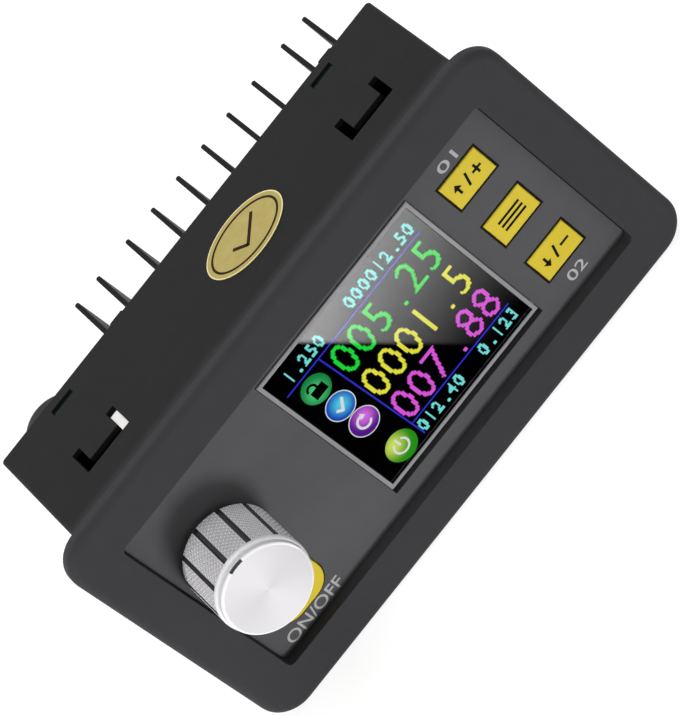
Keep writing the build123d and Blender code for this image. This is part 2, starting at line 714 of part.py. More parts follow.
def build():
    nodes = {
        "case": case(),
        "front_panel": front_panel(),
        "display_bezel": display_bezel(),
        "display_glass": display_layer(GLASS_FRONT, CELL_FRONT, RUN_FIT),
        "lcd_cell": lcd_cell(),
        "lcd_backlight": lcd_backlight(),
        "lcd_holder": lcd_holder(),
        "knob_shell": knob_shell(),
        "knob_core": knob_core(),
        "encoder_shaft": encoder_shaft(),
        "encoder_actuator": encoder_actuator(),
        "encoder_body": encoder_body(),
        "encoder_bushing": encoder_bushing(),
        "front_board": front_board(),
        "mcu_chip": mcu_chip(),
        "link_header": link_header(),
        "link_socket": link_socket(),
        "link_pins": link_pins(),
        "side_socket": side_socket(),
        "side_socket_pins": side_socket_pins(),
        "power_board": power_board(),
        "thermal_pad": thermal_pad(),
        "heatsink": heatsink(),
        "heatsink_screws": heatsink_screws(),
        "inductor_core": inductor_core(),
        "inductor_winding": inductor_winding(),
        "transistor_high": transistor(CHIP_Z),
        "transistor_low": transistor(-CHIP_Z),
        "terminal_block": terminal_block(),
        "terminal_clamps": terminal_clamps(),
        "terminal_screws": terminal_screws(),
        "sticker": sticker(),
        "capacitor_input": capacitor(CAP_INPUT_X, CAP_INPUT_Z, CAP_INPUT_R),
        "capacitor_output": capacitor(CAP_OUTPUT_X, CAP_OUTPUT_Z, CAP_OUTPUT_R),
    }
    for name, (x, z, w, h, corner) in key_places().items():
        nodes["key_" + name] = key(x, z, w, h, corner)
        nodes["plunger_" + name] = plunger(x, z)
        nodes["switch_" + name] = switch(x, z)
    return nodes


def main():
    os.makedirs("parts", exist_ok=True)
    place = Pos(0, -MIDDLE_Y, BEZEL_H / 2)
    for name, shape in build().items():
        export_step(place * shape, "parts/" + name + ".step")


main()
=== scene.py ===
import math

import bmesh
import bpy
from mathutils import Matrix, Vector
from mathutils.bvhtree import BVHTree


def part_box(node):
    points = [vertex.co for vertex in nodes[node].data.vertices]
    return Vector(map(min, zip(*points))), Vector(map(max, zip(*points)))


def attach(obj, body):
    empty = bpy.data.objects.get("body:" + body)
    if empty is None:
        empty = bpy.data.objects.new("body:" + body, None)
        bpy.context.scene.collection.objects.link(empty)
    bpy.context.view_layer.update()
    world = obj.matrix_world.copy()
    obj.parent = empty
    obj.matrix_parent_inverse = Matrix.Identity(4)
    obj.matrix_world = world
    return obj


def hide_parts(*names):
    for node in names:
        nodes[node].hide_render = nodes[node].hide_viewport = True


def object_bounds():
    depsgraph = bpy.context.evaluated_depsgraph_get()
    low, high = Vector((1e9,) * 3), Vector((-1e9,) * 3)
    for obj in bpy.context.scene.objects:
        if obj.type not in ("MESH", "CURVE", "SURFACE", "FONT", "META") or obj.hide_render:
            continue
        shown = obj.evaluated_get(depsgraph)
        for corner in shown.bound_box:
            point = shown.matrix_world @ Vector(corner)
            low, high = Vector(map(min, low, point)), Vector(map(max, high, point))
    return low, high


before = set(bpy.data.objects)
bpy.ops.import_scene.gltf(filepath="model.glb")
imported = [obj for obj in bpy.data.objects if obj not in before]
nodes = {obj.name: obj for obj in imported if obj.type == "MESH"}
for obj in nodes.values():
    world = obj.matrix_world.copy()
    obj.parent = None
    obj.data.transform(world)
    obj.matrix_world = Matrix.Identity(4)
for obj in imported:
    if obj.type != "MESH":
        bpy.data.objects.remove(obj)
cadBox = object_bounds()
scene = bpy.context.scene
mm = 0.001

# Drawings are in millimetres from the middle of the bezel's front face: x right, y rearwards, z up.
caseLow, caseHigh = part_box("case")
bezelFront = Vector((0, caseLow.y, (caseLow.z + caseHigh.z) / 2))
toRow = Matrix.Translation(bezelFront) @ Matrix.Scale(mm, 4)
toFront = Matrix.Rotation(math.radians(90), 4, "X")  # a flat drawing stands up and faces the viewer


def at(x, y, z):
    return toRow @ Vector((x, y, z))


def box(node):
    # lowest and highest corner of a node in the drawing's millimetres
    low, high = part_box(node)
    back = toRow.inverted()
    return back @ Vector(low), back @ Vector(high)


def middle(node):
    low, high = box(node)
    return (low + high) / 2


# colours and shader nodes

def rgb(hexText):
    # the sRGB curve is undone, since shaders take linear light
    channels = [int(hexText[i:i + 2], 16) / 255 for i in (1, 3, 5)]
    linear = [c / 12.92 if c <= 0.04045 else ((c + 0.055) / 1.055) ** 2.4 for c in channels]
    return (*linear, 1)


def grey(level):
    return (level, level, level, 1)


def addNode(tree, kind, settings=None, inputs=None):
    node = tree.nodes.new(kind)
    for key, value in (settings or {}).items():
        setattr(node, key, value)
    for key, value in (inputs or {}).items():
        if isinstance(value, bpy.types.NodeSocket):
            tree.links.new(value, node.inputs[key])
        else:
            node.inputs[key].default_value = value
    return node


def newMaterial(name, shader):
    material = bpy.data.materials.new(name)
    material.use_nodes = True
    tree = material.node_tree
    surface = tree.nodes["Principled BSDF"]
    for key, value in shader.items():
        surface.inputs[key].default_value = value
    return material, tree, surface


def bareMaterial(name):
    # a material with nothing but its output node
    material = bpy.data.materials.new(name)
    material.use_nodes = True
    tree = material.node_tree
    tree.nodes.remove(tree.nodes["Principled BSDF"])
    return material, tree


def calc(tree, operation, a, b=0.0, c=0.0):
    return addNode(tree, "ShaderNodeMath", {"operation": operation}, {0: a, 1: b, 2: c}).outputs[0]


def ranged(tree, value, limits, settings=None):
    return addNode(tree, "ShaderNodeMapRange", settings, {"Value": value, **limits}).outputs[0]


def blended(tree, share, low, high):
    # a colour that goes from low to high as the share goes from 0 to 1
    mix = addNode(tree, "ShaderNodeMix", {"data_type": "RGBA"}, {"Factor": share, 6: low, 7: high})
    return mix.outputs[2]


def objectPoint(tree, scale=(1, 1, 1), move=(0, 0, 0), turn=(0, 0, 0)):
    place = addNode(tree, "ShaderNodeTexCoord")
    moved = addNode(tree, "ShaderNodeMapping", None, {
        "Vector": place.outputs["Object"], "Location": move, "Rotation": turn, "Scale": scale})
    return moved.outputs["Vector"]


def axes(tree, point):
    return addNode(tree, "ShaderNodeSeparateXYZ", None, {0: point}).outputs


def clouds(tree, patchMm, detail, scale=(1, 1, 1)):
    # soft noise whose patches are about patchMm wide
    noise = addNode(tree, "ShaderNodeTexNoise", None, {
        "Vector": objectPoint(tree, scale), "Scale": 1 / (patchMm * mm), "Detail": detail})
    return noise.outputs["Fac"]


surfaceSet = {
    "fineDetail": 3.0, "tintDetail": 4.0, "edgeSamples": 6,
    "tintPatch": 2.5, "roughPatch": 0.6, "roughSpread": 0.06,
}


def grainBump(tree, surface, grainMm, depthMm, scale=(1, 1, 1), strength=0.5, edgeMm=0):
    # fine relief of the surface; edgeMm softens the sharp edges of a moulding
    bump = addNode(tree, "ShaderNodeBump", None, {
        "Height": clouds(tree, grainMm, surfaceSet["fineDetail"], scale),
        "Strength": strength, "Distance": depthMm * mm})
    if edgeMm:
        soft = addNode(tree, "ShaderNodeBevel", {"samples": surfaceSet["edgeSamples"]},
                       {"Radius": edgeMm * mm})
        tree.links.new(soft.outputs["Normal"], bump.inputs["Normal"])
    tree.links.new(bump.outputs["Normal"], surface.inputs["Normal"])


def tinted(tree, surface, low, high, patchMm, scale=(1, 1, 1)):
    share = clouds(tree, patchMm, surfaceSet["tintDetail"], scale)
    tree.links.new(blended(tree, share, rgb(low), rgb(high)), surface.inputs["Base Color"])


def speckledRoughness(tree, surface, patchMm, low, high):
    noise = clouds(tree, patchMm, surfaceSet["fineDetail"])
    rough = ranged(tree, noise, {"To Min": low, "To Max": high})
    tree.links.new(rough, surface.inputs["Roughness"])


def mouldedPlastic(name, low, high, roughness, grainMm=0.18, depthMm=0.012, specular=0.5, edgeMm=0):
    material, tree, surface = newMaterial(name, {"Specular IOR Level": specular})
    spread = surfaceSet["roughSpread"]
    tinted(tree, surface, low, high, surfaceSet["tintPatch"])
    speckledRoughness(tree, surface, surfaceSet["roughPatch"],
                      roughness - spread, roughness + spread)
    grainBump(tree, surface, grainMm, depthMm, edgeMm=edgeMm)
    return material


# camera: the photograph's view, found by fitting the bezel and body edges

cameraSet = {
    "place": (16.3965, -396.6581, 324.7268),
    "right": (0.6223, -0.472551, -0.62405),
    "down": (-0.782133, -0.407742, -0.471184),
    "forward": (-0.031793, 0.781308, -0.623336),
    "focalPixels": 4322.8,
    "frameHeight": 716,
    "sensorMm": 36,
    "near": 0.01,
    "far": 20,
}


def makeCamera():
    lens = bpy.data.cameras.new("camera")
    lens.sensor_width = cameraSet["sensorMm"]
    lens.lens = cameraSet["sensorMm"] * cameraSet["focalPixels"] / cameraSet["frameHeight"]
    lens.clip_start = cameraSet["near"]
    lens.clip_end = cameraSet["far"]
    right, down, forward = (Vector(cameraSet[key]) for key in ("right", "down", "forward"))
    turn = Matrix((right, -down, -forward)).transposed().to_4x4()
    cam = bpy.data.objects.new("camera", lens)
    cam.matrix_world = Matrix.Translation(at(*cameraSet["place"])) @ turn
    scene.collection.objects.link(cam)
    scene.camera = cam


# lights: soft disc lamps round a dim room, whose walls look white to the camera and in mirrors

lightSet = {
    "world": 0.1,
    "seenWorld": 1.0,
    "target": (0, 10, 0),
    "lamps": {
        "frontLamp": {"place": (90, -430, 40), "size": 0.3, "power": 0.2},
        "lowLamp": {"place": (-62, -320, -125), "size": 0.09, "power": 0.8},
        "highLamp": {"place": (30, -70, 470), "size": 0.3, "power": 1.25},
        "leftLamp": {"place": (-430, -70, 50), "size": 0.2, "power": 0.9},
        "rearLamp": {"place": (-20, 380, 420), "size": 0.4, "power": 1.9},
    },
}


def seenDirectly(tree):
    # 1 for what the camera sees itself, in a mirror or through glass, and 0 for scattered light
    path = addNode(tree, "ShaderNodeLightPath").outputs
    either = calc(tree, "MAXIMUM", path["Is Camera Ray"], path["Is Glossy Ray"])
    return calc(tree, "MAXIMUM", either, path["Is Transmission Ray"])


def makeWorld():
    world = bpy.data.worlds.new("softRoom")
    scene.world = world
    world.use_nodes = True
    tree = world.node_tree
    back = tree.nodes["Background"]
    back.inputs["Color"].default_value = grey(1)
    back.inputs["Strength"].default_value = lightSet["world"]
    white = addNode(tree, "ShaderNodeBackground", None,
                    {"Color": grey(1), "Strength": lightSet["seenWorld"]})
    mix = addNode(tree, "ShaderNodeMixShader", None,
                  {0: seenDirectly(tree), 1: back.outputs[0], 2: white.outputs[0]})
    tree.links.new(mix.outputs[0], tree.nodes["World Output"].inputs["Surface"])


def makeLights():
    target = at(*lightSet["target"])
    for name, lamp in lightSet["lamps"].items():
        data = bpy.data.lights.new(name, "AREA")
        data.shape = "DISK"
        data.size = lamp["size"]
        data.energy = lamp["power"]
        place = at(*lamp["place"])
        obj = bpy.data.objects.new(name, data)
        aim = (target - place).to_track_quat("-Z", "Y").to_matrix().to_4x4()
        obj.matrix_world = Matrix.Translation(place) @ aim
        obj.visible_glossy = obj.visible_transmission = obj.visible_camera = False
        scene.collection.objects.link(obj)


def stagePlane(name, low, high, height, material):
    bm = bmesh.new()
    bmesh.ops.create_grid(bm, x_segments=1, y_segments=1, size=0.5)
    size = Vector((high[0] - low[0], high[1] - low[1], 1))
    centre = Vector(((low[0] + high[0]) / 2, (low[1] + high[1]) / 2, height))
    bmesh.ops.scale(bm, vec=size, verts=bm.verts)
    bmesh.ops.translate(bm, vec=centre, verts=bm.verts)
    mesh = bpy.data.meshes.new(name)
    bm.to_mesh(mesh)
    bm.free()
    mesh.materials.append(material)
    obj = bpy.data.objects.new(name, mesh)
    scene.collection.objects.link(obj)
    return obj


floorSet = {"half": 3.0, "glow": 0.9, "diffuse": 0.2, "bounce": 0.6, "below": 0.00002}


def makeFloor():
    # The camera and mirrors see a pale floor that still takes shadows; other light meets dull grey.
    material, tree = bareMaterial("paleFloor")
    matt = addNode(tree, "ShaderNodeBsdfDiffuse", None, {"Color": grey(floorSet["bounce"])})
    glow = addNode(tree, "ShaderNodeEmission", None,
                   {"Color": grey(1), "Strength": floorSet["glow"]})
    share = addNode(tree, "ShaderNodeBsdfDiffuse", None, {"Color": grey(floorSet["diffuse"])})
    both = addNode(tree, "ShaderNodeAddShader", None, {0: glow.outputs[0], 1: share.outputs[0]})
    mix = addNode(tree, "ShaderNodeMixShader", None,
                  {0: seenDirectly(tree), 1: matt.outputs[0], 2: both.outputs[0]})
    tree.links.new(mix.outputs[0], tree.nodes["Material Output"].inputs["Surface"])
    half = floorSet["half"]
    height = cadBox[0][2] - floorSet["below"]
    floor = stagePlane("floor", (-half, -half), (half, half), height, material)
    floor.visible_shadow = False  # the low lamp stands below the floor and has to shine through it


# The window's glare: a graded reflector in front of the module, which only mirrors see.
glareSet = {
    "bright": 4.9, "power": 1.75, "fade": 0.42,
    "top": 13.7, "bottom": -11.0, "left": -14.0, "right": 34.0, "beyond": 2,
    "edgeX": -2.9, "edgeSlope": 0.626, "edgeSoft": 0.3, "run": 1.23, "height": 0.3,
}


def makeGlare():
    glare = glareSet
    material, tree = bareMaterial("gradedReflector")
    place = axes(tree, addNode(tree, "ShaderNodeTexCoord").outputs["Object"])
    floorZ = (cadBox[0][2] - bezelFront.z) / mm
    window = box("display_glass")[0].y
    # x and z are the place on the window in which this point of the reflector is mirrored.
    y = calc(tree, "MULTIPLY_ADD", place["Y"], 1 / mm, -bezelFront.y / mm)
    z = calc(tree, "MULTIPLY_ADD", y, -1 / glare["run"], window / glare["run"] + floorZ)
    x = calc(tree, "MULTIPLY", place["X"], 1 / mm)
    fall = calc(tree, "SUBTRACT", glare["top"], z)
    edge = calc(tree, "MULTIPLY_ADD", fall, glare["edgeSlope"], glare["edgeX"])
    past = calc(tree, "SUBTRACT", x, edge)
    soft = glare["edgeSoft"]
    lit = ranged(tree, past, {"From Min": -soft, "From Max": soft})
    tall = glare["top"] - glare["bottom"]
    rise = calc(tree, "MULTIPLY_ADD", z, 1 / tall, -glare["bottom"] / tall)
    rise = calc(tree, "POWER", calc(tree, "MAXIMUM", rise, 0.0), glare["power"])
    fade = ranged(tree, past, {"From Max": glare["right"] - glare["left"],
                               "To Min": 1.0, "To Max": 1 - 2 * glare["fade"]})
    level = calc(tree, "MULTIPLY", calc(tree, "MULTIPLY", rise, lit), fade)
    glow = addNode(tree, "ShaderNodeEmission", None, {
        "Color": grey(1), "Strength": calc(tree, "MULTIPLY", level, glare["bright"])})
    tree.links.new(glow.outputs[0], tree.nodes["Material Output"].inputs["Surface"])
    front = window - glare["run"] * (glare["top"] + glare["beyond"] - floorZ)
    rear = window - glare["run"] * (glare["bottom"] - glare["beyond"] - floorZ)
    low = at(glare["left"], front, 0)
    high = at(glare["right"], rear, 0)
    height = cadBox[0][2] + glare["height"] * mm
    card = stagePlane("graded_reflector", low, high, height, material)
    card.visible_camera = card.visible_diffuse = card.visible_shadow = False


# making pieces

def finishPiece(name, bm, body, materials, smooth=None, replaced=()):
    # Drawn in millimetres; the finished object sits at the origin with its place in its mesh.
    bmesh.ops.transform(bm, matrix=toRow, verts=bm.verts)
    mesh = bpy.data.meshes.new(name)
    bm.to_mesh(mesh)
    bm.free()
    for material in materials:
        mesh.materials.append(material)
    if smooth is not None:
        mesh.shade_smooth()
        mesh.set_sharp_from_angle(angle=math.radians(smooth))
    obj = bpy.data.objects.new(name, mesh)
    scene.collection.objects.link(obj)
    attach(obj, body)
    if replaced:
        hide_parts(*replaced)
    return obj


def addDisc(bm, x, y, radius, lift=0.0, segments=48):
    bmesh.ops.create_circle(bm, cap_ends=True, segments=segments, radius=radius,
                            matrix=Matrix.Translation((x, y, lift)))


arcStep = 7.5  # degrees


def addArc(bm, x, y, inner, outer, start, sweep, lift):
    # a ring or part of one: a short edge swept about its centre
    turn = Matrix.Rotation(math.radians(start), 3, "Z")
    ends = [bm.verts.new(turn @ Vector((r, 0, 0)) + Vector((x, y, lift))) for r in (inner, outer)]
    edge = bm.edges.new(ends)
    bmesh.ops.spin(bm, geom=[*ends, edge], cent=(x, y, lift), axis=(0, 0, 1),
                   angle=math.radians(sweep), steps=round(sweep / arcStep), use_merge=sweep == 360)


def addBar(bm, x0, y0, x1, y1, width, lift=0.0):
    # a straight stroke with square ends
    run = Vector((x1 - x0, y1 - y0, 0))
    turn = Matrix.Rotation(math.atan2(run.y, run.x), 4, "Z")
    size = Matrix.Diagonal((run.length, width, 1, 1))
    centre = Matrix.Translation(((x0 + x1) / 2, (y0 + y1) / 2, lift))
    bmesh.ops.create_grid(bm, x_segments=1, y_segments=1, size=0.5, matrix=centre @ turn @ size)


def addShape(bm, points, lift=0.0):
    bm.faces.new([bm.verts.new((x, y, lift)) for x, y in points])


def letterMesh(text, bold):
    curve = bpy.data.curves.new("letters", "FONT")
    curve.body = text
    curve.offset = bold
    carrier = bpy.data.objects.new("letters", curve)
    mesh = bpy.data.meshes.new_from_object(carrier)
    bpy.data.objects.remove(carrier)
    return mesh


def span(points):
    return (min(p.x for p in points), min(p.y for p in points),
            max(p.x for p in points), max(p.y for p in points))


def addLetters(bm, text, x0, y0, x1, y1, bold=0.0, likeZero=False):
    # Text fills the box. With likeZero a digit keeps the scale at which 0 would fill it.
    mesh = letterMesh(text, bold)
    points = [v.co for v in mesh.vertices]
    model = [v.co for v in letterMesh("0", bold).vertices] if likeZero else points
    left, low, right, high = span(model)
    ownLeft, _, ownRight, _ = span(points)
    sx, sy = (x1 - x0) / (right - left), (y1 - y0) / (high - low)
    middleX = (x0 + x1) / 2
    shift = Vector((middleX - sx * (ownLeft + ownRight) / 2, y0 - sy * low, 0))
    mesh.transform(Matrix.Translation(shift) @ Matrix.Diagonal((sx, sy, 1, 1)))
    bm.from_mesh(mesh)


def addDigits(bm, text, x, y, width, height, pitch, bold, dot):
    # Evenly spaced figures made of square dots; a run of dots in one row is one bar. A decimal
    # point takes a cell of its own.
    down = Vector((0, 0, -1))
    for letter in text:
        if letter == ".":
            addBar(bm, x + pitch / 2 - dot, y + dot, x + pitch / 2 + dot, y + dot, 2 * dot)
        else:
            shape = bmesh.new()
            addLetters(shape, letter, x, y, x + width, y + height, bold, likeZero=True)
            tree = BVHTree.FromBMesh(shape)
            shape.free()
            for row in range(round(height / dot)):
                level = y + (row + 0.5) * dot
                lit = [tree.ray_cast(Vector((x + (i + 0.5) * dot, level, 1)), down)[0] is not None
                       for i in range(round(width / dot) + 1)] + [False]
                start = None
                for i, on in enumerate(lit):
                    if on and start is None:
                        start = i
                    elif not on and start is not None:
                        addBar(bm, x + start * dot, level, x + i * dot, level, dot)
                        start = None
        x += pitch


def roundedBlock(low, high, edge, segments):
    # a block between two corners with its edges taken off
    bm = bmesh.new()
    bmesh.ops.create_cube(bm, size=1)
    bmesh.ops.scale(bm, vec=high - low, verts=bm.verts)
    bmesh.ops.translate(bm, vec=(low + high) / 2, verts=bm.verts)
    bmesh.ops.bevel(bm, geom=bm.edges, offset=edge, segments=segments, profile=0.5,
                    affect="EDGES", material=-1)
    return bm


def quarter(steps):
    # sine and cosine at even steps of a right angle
    for i in range(steps + 1):
        angle = math.radians(90 * i / steps)
        yield math.sin(angle), math.cos(angle)


def lathe(rows, steps):
    # a closed form turned about the y axis from rows of radius and depth
    bm = bmesh.new()
    points = [bm.verts.new((radius, depth, 0)) for radius, depth in rows]
    edges = [bm.edges.new(pair) for pair in zip(points, points[1:])]
    bmesh.ops.spin(bm, geom=points + edges, cent=(0, 0, 0), axis=(0, 1, 0), angle=math.tau,
                   steps=steps, use_merge=True)
    bmesh.ops.remove_doubles(bm, verts=bm.verts, dist=0.0001)
    return bm


def finishPrint(name, bm, material, turn, body="module"):
    # a flat print: its faces look outwards, and it stands on its carrier by its place
    for face in bm.faces:
        face.normal_update()
        if face.normal.z < 0:
            face.normal_flip()
    bmesh.ops.transform(bm, matrix=turn, verts=bm.verts)
    return finishPiece(name, bm, body, [material])


def onFront(depth):
    return Matrix.Translation((0, depth, 0)) @ toFront


# materials

def dress(material, *names):
    for name in names:
        mesh = nodes[name].data
        mesh.materials.clear()
        mesh.materials.append(material)


# bezel and body colours of the one moulding; the body's darker colour is painted shade
caseSet = {
    "bezel": ("#353537", "#3a3a3c"), "body": ("#1f1f20", "#242425"), "from": 4.2, "to": 6.0,
    "patch": 2.5, "roughPatch": 0.6, "smoothest": 0.54, "roughest": 0.66,
    "grain": 0.2, "depth": 0.012, "edge": 0.15,
}


def absWithPaintedShadeOnBody():
    # Spark-textured ABS: dull black with a fine even grain. The body is painted darker than the
    # bezel: painted shade for its top, which takes less light than the bezel's front.
    case = caseSet
    material, tree, surface = newMaterial("sparkTexturedAbsPaintedShade", {"Specular IOR Level": 0.1})
    patches = clouds(tree, case["patch"], surfaceSet["tintDetail"])
    bezel, body = (blended(tree, patches, *map(rgb, case[part])) for part in ("bezel", "body"))
    place = axes(tree, addNode(tree, "ShaderNodeTexCoord").outputs["Object"])
    # between from and to, the bezel's colour turns to the body's darker painted-shade colour
    share = ranged(tree, place["Y"], {"From Min": at(0, case["from"], 0).y,
                                      "From Max": at(0, case["to"], 0).y})
    tree.links.new(blended(tree, share, bezel, body), surface.inputs["Base Color"])
    speckledRoughness(tree, surface, case["roughPatch"], case["smoothest"], case["roughest"])
    grainBump(tree, surface, case["grain"], case["depth"], edgeMm=case["edge"])
    return material


# Matt screen-printed sheet: a flat mid grey, a shade lighter than the bezel.
panelSheet = mouldedPlastic("screenPrintedPanel", "#4f4f51", "#555557", 0.6, 0.12, 0.006,
                            specular=0.1)
# Satin moulded rim: light grey with soft glints on its bevel.
rimPlastic = mouldedPlastic("satinRimPlastic", "#848486", "#909092", 0.32, 0.1, 0.004,
                            specular=0.45)
# Satin yellow key plastic: even colour with a faint sheen.
keyPlastic = mouldedPlastic("satinKeyPlastic", "#cdb732", "#d6c03a", 0.45, 0.12, 0.005,
                            specular=0.2, edgeMm=0.1)
# White nylon: slightly warm and dull.
whiteNylon = mouldedPlastic("mouldedWhiteNylon", "#dedddb", "#e8e7e5", 0.45, specular=0.3)
# Black glass-filled plastic: switch, header and chip bodies.
blackNylon = mouldedPlastic("glassFilledBlackNylon", "#121212", "#1b1b1b", 0.5, specular=0.3)
# Green terminal nylon: smooth with a soft shine.
greenNylon = mouldedPlastic("terminalGreenNylon", "#1f7a3a", "#258543", 0.35, 0.18, 0.006,
                            specular=0.4, edgeMm=0.15)
# Soft silicone pad: pale blue grey, quite dull.
siliconePad = mouldedPlastic("siliconeThermalPad", "#8d97a3", "#99a2ad", 0.7)
# Coated powder core: dull yellow enamel.
powderCore = mouldedPlastic("enamelledPowderCore", "#b9a32b", "#c6b03a", 0.45)
# Screen ink on the panel: pale grey, thin and matt.
paleInk = mouldedPlastic("paleScreenInk", "#a8a8a8", "#b4b4b4", 0.6, 0.08, 0.003, specular=0.1)
# Screen ink on the keys: matt black. The same black paints the shadow in the gaps round the keys.
blackInkAndGapShadow = mouldedPlastic("blackScreenInkAndGapShadow", "#0f0e08", "#171610", 0.6, 0.08, 0.003, specular=0.08)


def anodisedAluminium():
    # Black anodised extrusion: near black with a metallic sheen and fine lines along the extrusion.
    material, tree, surface = newMaterial("blackAnodisedAluminium", {
        "Metallic": 0.08, "Roughness": 0.5, "Specular IOR Level": 0.06})
    tinted(tree, surface, "#161617", "#1f1f21", 1.2, scale=(1, 1, 0.05))
    grainBump(tree, surface, 0.12, 0.01, scale=(1, 1, 0.03), strength=0.4)
    return material


def zincSteel():
    # Zinc-plated steel: mid grey metal with small cloudy patches.
    material, tree, surface = newMaterial("zincPlatedSteel", {"Metallic": 1.0})
    tinted(tree, surface, "#a9abad", "#c4c6c8", 0.5)
    speckledRoughness(tree, surface, 0.4, 0.25, 0.42)
    grainBump(tree, surface, 0.08, 0.004)
    return material


def tinnedBrass():
    # Tinned brass: pale warm metal, a little dull.
    material, tree, surface = newMaterial("tinnedBrass", {"Metallic": 1.0})
    tinted(tree, surface, "#b9b296", "#cfc8ae", 0.5)
    speckledRoughness(tree, surface, 0.4, 0.28, 0.45)
    return material


def enamelledCopper():
    # Enamelled copper wire: deep orange metal under clear varnish.
    material, tree, surface = newMaterial("enamelledCopper", {"Metallic": 1.0, "Coat Weight": 0.8})
    tinted(tree, surface, "#a8521f", "#c46a30", 0.8)
    speckledRoughness(tree, surface, 0.3, 0.22, 0.35)
    return material


boardSet = {
    "cell": 4, "offset": 0.35, "line": 0.04, "lineSoft": 0.4, "raised": 0.02, "strength": 0.4,
}


def solderMask():
    # Nearly black green solder mask: glossy, with slightly raised darker lines like tracks.
    material, tree, surface = newMaterial("solderMaskedBoard", {
        "Roughness": 0.28, "Coat Weight": 0.3})
    tracks = addNode(tree, "ShaderNodeTexBrick", {"offset": boardSet["offset"]}, {
        "Vector": objectPoint(tree), "Scale": 1 / (boardSet["cell"] * mm),
        "Mortar Size": boardSet["line"], "Mortar Smooth": boardSet["lineSoft"],
        "Color1": rgb("#0e1f17"), "Color2": rgb("#11241b"), "Mortar": rgb("#0a1711")})
    tree.links.new(tracks.outputs["Color"], surface.inputs["Base Color"])
    bump = addNode(tree, "ShaderNodeBump", None, {
        "Height": tracks.outputs["Fac"], "Strength": boardSet["strength"],
        "Distance": boardSet["raised"] * mm})
    tree.links.new(bump.outputs["Normal"], surface.inputs["Normal"])
    return material


def sleeveFilm(name, low, high):
    # Shrunk plastic sleeve on the cans: glossy, with faint waves where it has drawn tight.
    material, tree, surface = newMaterial(name, {"Roughness": 0.3, "Specular IOR Level": 0.2})
    tinted(tree, surface, low, high, 3.0)
    grainBump(tree, surface, 1.5, 0.05, strength=0.3)
    return material


def turnedMetal(name, low, high, roughness, grainMm=0.1, depthMm=0.004, metallic=0.35):
    # Lathe-turned aluminium: bright satin with a fine even grit that scatters the light.
    material, tree, surface = newMaterial(name, {"Metallic": metallic})
    tinted(tree, surface, low, high, 0.6)
    speckledRoughness(tree, surface, 0.3, roughness - 0.05, roughness + 0.05)
    grainBump(tree, surface, grainMm, depthMm)
    return material


def dressFrame():
    dress(absWithPaintedShadeOnBody(), "case")
    dress(panelSheet, "front_panel")
    dress(rimPlastic, "display_bezel")
    dress(keyPlastic, "key_up", "key_set", "key_down", "key_output")
    dress(whiteNylon, "side_socket", "lcd_backlight", "lcd_holder")
    dress(blackNylon, "knob_core", "encoder_body", "link_header", "link_socket", "mcu_chip",
          "encoder_actuator", "transistor_high", "transistor_low")
    for key in ("up", "set", "down", "output"):
        dress(blackNylon, "switch_" + key, "plunger_" + key)
    dress(greenNylon, "terminal_block")
    dress(siliconePad, "thermal_pad")
    dress(powderCore, "inductor_core")
    dress(anodisedAluminium(), "heatsink")
    dress(zincSteel(), "heatsink_screws", "terminal_screws", "encoder_shaft", "encoder_bushing")
    dress(tinnedBrass(), "link_pins", "side_socket_pins", "terminal_clamps")
    dress(enamelledCopper(), "inductor_winding")
    dress(solderMask(), "front_board", "power_board")


# knob: turned aluminium with a grooved, knurled grip, a smooth step and a rounded ring at its face.
# near and nearer are the slack with which places on it are compared.

knobSet = {
    "gripR": 6.4, "stepR": 6.1, "faceR": 5.8, "boreR": 5.2, "faceT": 1.0,
    "front": 8.95, "ringEnd": 8.65, "stepEnd": 8.0, "gripEnd": 7.4, "rearFrom": 0.88,
    "grooves": 11, "perSector": 30, "grooveHalf": 2, "grooveDepth": 0.5, "grooveShare": 0.3,
    "turn": -3.5, "rowMm": 0.125, "knurl": 0.1, "knurlEvery": 3, "markHalf": 9.6, "markDepth": 0.24,
    "roundSteps": 4, "near": 0.01, "nearer": 0.001, "smooth": 28,
}
knobFace, knobRing, knobStep, knobShoulder, knobGrip, knobGroove, knobMark, knobShadedValley = range(8)


def knobRows():
    # radius and depth of each ring of points, from the centre of the face round to the bore
    k = knobSet
    rows = [(0, -k["front"]), (k["faceR"] / 2, -k["front"])]
    edge = k["stepR"] - k["faceR"]
    rows += [(k["faceR"] + edge * s, -k["ringEnd"] - edge * c) for s, c in quarter(k["roundSteps"])]
    out, back = k["gripR"] - k["stepR"], k["stepEnd"] - k["gripEnd"]
    rows += [(k["stepR"] + out * s, -k["gripEnd"] - back * c) for s, c in quarter(k["roundSteps"])]
    rear = box("knob_shell")[1].y
    length = rear + k["gripEnd"]
    count = round(length / k["rowMm"])
    rows += [(k["gripR"], -k["gripEnd"] + length * i / count) for i in range(1, count + 1)]
    inside = k["faceT"] - k["front"]
    return rows + [(k["boreR"], rear), (k["boreR"], inside), (0, inside)]


def cutKnob(bm, turn, step):
    # grooves, knurl and the milled mark, made by moving the points of the plain turned form
    k = knobSet
    half = k["perSector"] // 2
    for vert in bm.verts:
        radius = math.hypot(vert.co.x, vert.co.z)
        angle = math.atan2(vert.co.x, vert.co.z)
        column = round((angle - turn) / step)
        row = round((vert.co.y + k["gripEnd"]) / k["rowMm"])
        onRing = k["faceR"] + k["near"] < radius < k["stepR"] - k["near"] \
            and vert.co.y < -k["ringEnd"] - k["near"]
        if onRing and abs(math.degrees(angle)) < k["markHalf"]:
            vert.co.y = -k["front"] + k["markDepth"]
        if radius > k["gripR"] - k["near"] and row > 0:
            fromGroove = abs((column + half) % k["perSector"] - half)
            crossed = 0 in ((column + row) % k["knurlEvery"], (column - row) % k["knurlEvery"])
            if fromGroove <= k["grooveHalf"]:
                radius = k["gripR"] - k["grooveDepth"]
            elif fromGroove > k["grooveHalf"] + 1 and crossed:
                radius -= k["knurl"]
        angle = turn + column * step
        vert.co.x, vert.co.z = radius * math.sin(angle), radius * math.cos(angle)


